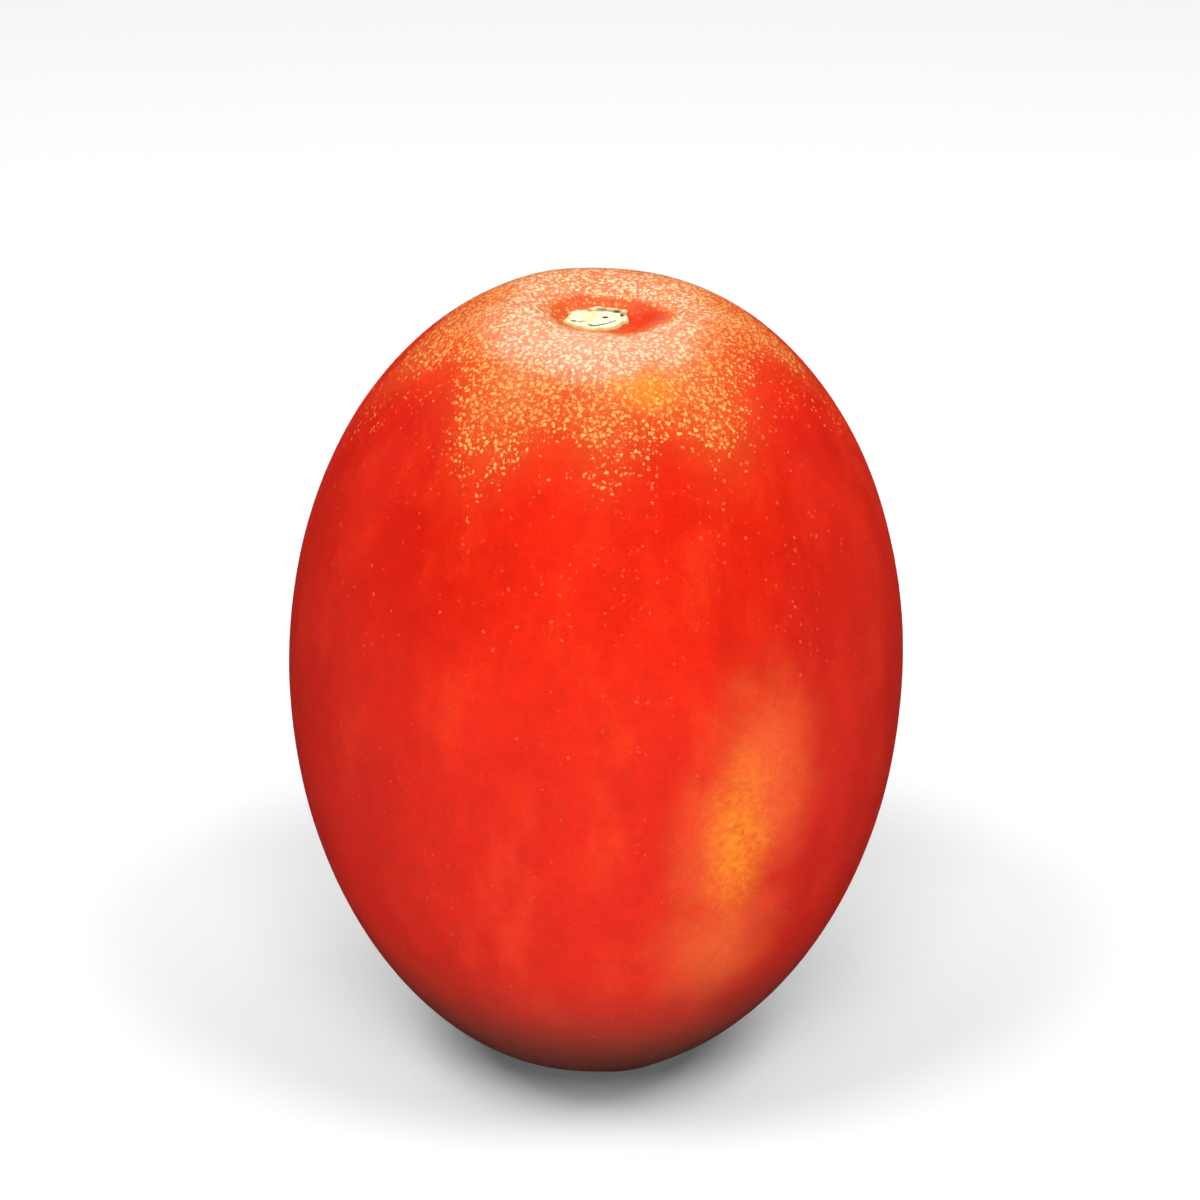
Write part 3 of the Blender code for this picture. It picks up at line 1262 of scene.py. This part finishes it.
@dataclass
class Studio:
    """A plain pale floor, soft light, and the camera at the photograph's angle."""

    aim: Vector = field(default_factory=lambda: Vector((0.0, 0.0, 0.0348)))
    elevation: float = math.radians(29)
    distance: float = 0.4036
    pixels_per_metre: float = 12215.0
    picture_pixels: float = 1200.0
    sensor: float = 36.0
    aim_column: float = 595.86
    aim_row: float = 669.0
    floor_radius: float = 4.0
    floor_segments: int = 128
    floor_colour: Colour = (0.95, 0.95, 0.95, 1.0)
    floor_roughness: float = 0.9
    room_colour: Colour = (1.0, 1.0, 1.0, 1.0)
    room_glow: float = 0.020
    softboxes: tuple[Softbox, ...] = (
        Softbox("overhead_softbox", 180, 75, 2.1, Lit.FRUIT, gloss=Gloss.SHOWS),
        Softbox("front_softbox", 0, 42, 7.7, Lit.FRUIT),
        Softbox("back_softbox", 180, 45, 3.6, Lit.FRUIT),
        Softbox("left_softbox", -110, 25, 2.4, Lit.FRUIT),
        Softbox("right_softbox", 110, 25, 2.4, Lit.FRUIT),
        Softbox("floor_front_softbox", 0, 50, 2.2, Lit.FLOOR, 0.30),
        Softbox("floor_left_softbox", -58, 57, 2.75, Lit.FLOOR, 0.30),
        Softbox("floor_right_softbox", 58, 57, 2.75, Lit.FLOOR, 0.30),
        Softbox("floor_back_left_softbox", -120, 62, 0.7, Lit.FLOOR, 0.30),
        Softbox("floor_back_right_softbox", 120, 62, 0.7, Lit.FLOOR, 0.30),
        Softbox("floor_overhead_softbox", 180, 75, 0.5, Lit.FLOOR, 0.30),
    )

    def build_camera(self) -> None:
        """Sets the camera up so that the fruit stands where the photograph has it."""
        lens = bpy.data.cameras.new("camera")
        lens.sensor_width = self.sensor
        lens.lens = self.pixels_per_metre * self.distance * self.sensor / self.picture_pixels
        lens.shift_x = 0.5 - self.aim_column / self.picture_pixels
        lens.shift_y = self.aim_row / self.picture_pixels - 0.5
        camera = bpy.data.objects.new("camera", lens)
        back = Vector((0.0, -math.cos(self.elevation), math.sin(self.elevation)))
        camera.location = self.aim + back * self.distance
        camera.rotation_euler = (-back).to_track_quat("-Z", "Y").to_euler()
        bpy.context.scene.collection.objects.link(camera)
        bpy.context.scene.camera = camera

    def build_floor(self) -> None:
        """Lays the floor."""
        shape = bmesh.new()
        bmesh.ops.create_circle(
            shape, cap_ends=True, segments=self.floor_segments, radius=self.floor_radius
        )
        mesh = bpy.data.meshes.new("floor")
        shape.to_mesh(mesh)
        shape.free()
        finish = {"Base Color": self.floor_colour, "Roughness": self.floor_roughness}
        mesh.materials.append(Graph("floor").surface({**finish, "Specular IOR Level": 0.0}))
        floor = bpy.data.objects.new("floor", mesh)
        floor.visible_glossy = False
        bpy.data.collections[Lit.FLOOR.value].objects.link(floor)
        bpy.context.scene.collection.objects.link(floor)

    def build_room(self) -> None:
        """Gives the room its faint even glow."""
        world = bpy.data.worlds.new("room")
        world.use_nodes = True
        background = world.node_tree.nodes["Background"]
        background.inputs["Color"].default_value = self.room_colour
        background.inputs["Strength"].default_value = self.room_glow
        bpy.context.scene.world = world

    def build(self) -> None:
        """Sets up the whole studio."""
        for lit in Lit:
            bpy.data.collections.new(lit.value)
        self.build_camera()
        self.build_floor()
        self.build_room()
        for softbox in self.softboxes:
            softbox.build(self.aim)
        bpy.context.scene.view_settings.view_transform = "Standard"


def reported(piece: Piece, slot: str) -> None:
    """Fastens a piece to the fruit's body, puts it among what the fruit's lamps light and logs it.

    Args:
        piece: The piece.
        slot: The record's slot name, which is only logged.
    """
    piece.visible_diffuse = False
    bpy.data.collections[Lit.FRUIT.value].objects.link(piece)
    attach(piece, BODY)
    log.info("%s: %d faces, slot %s", piece.name, len(piece.data.polygons), slot)


def main() -> None:
    """Builds the studio and the fruit."""
    logging.basicConfig(level=logging.INFO, format="%(name)s: %(message)s")
    Studio().build()
    form = FruitForm()
    skin = Skin(form).build()
    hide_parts(NODE)
    reported(skin, "tomato_skin")
    reported(StemScar(form).build(), "stem_scar_cork")
    reported(BlossomTip().build(), "stem_scar_cork")


if __name__ == "__main__":
    main()
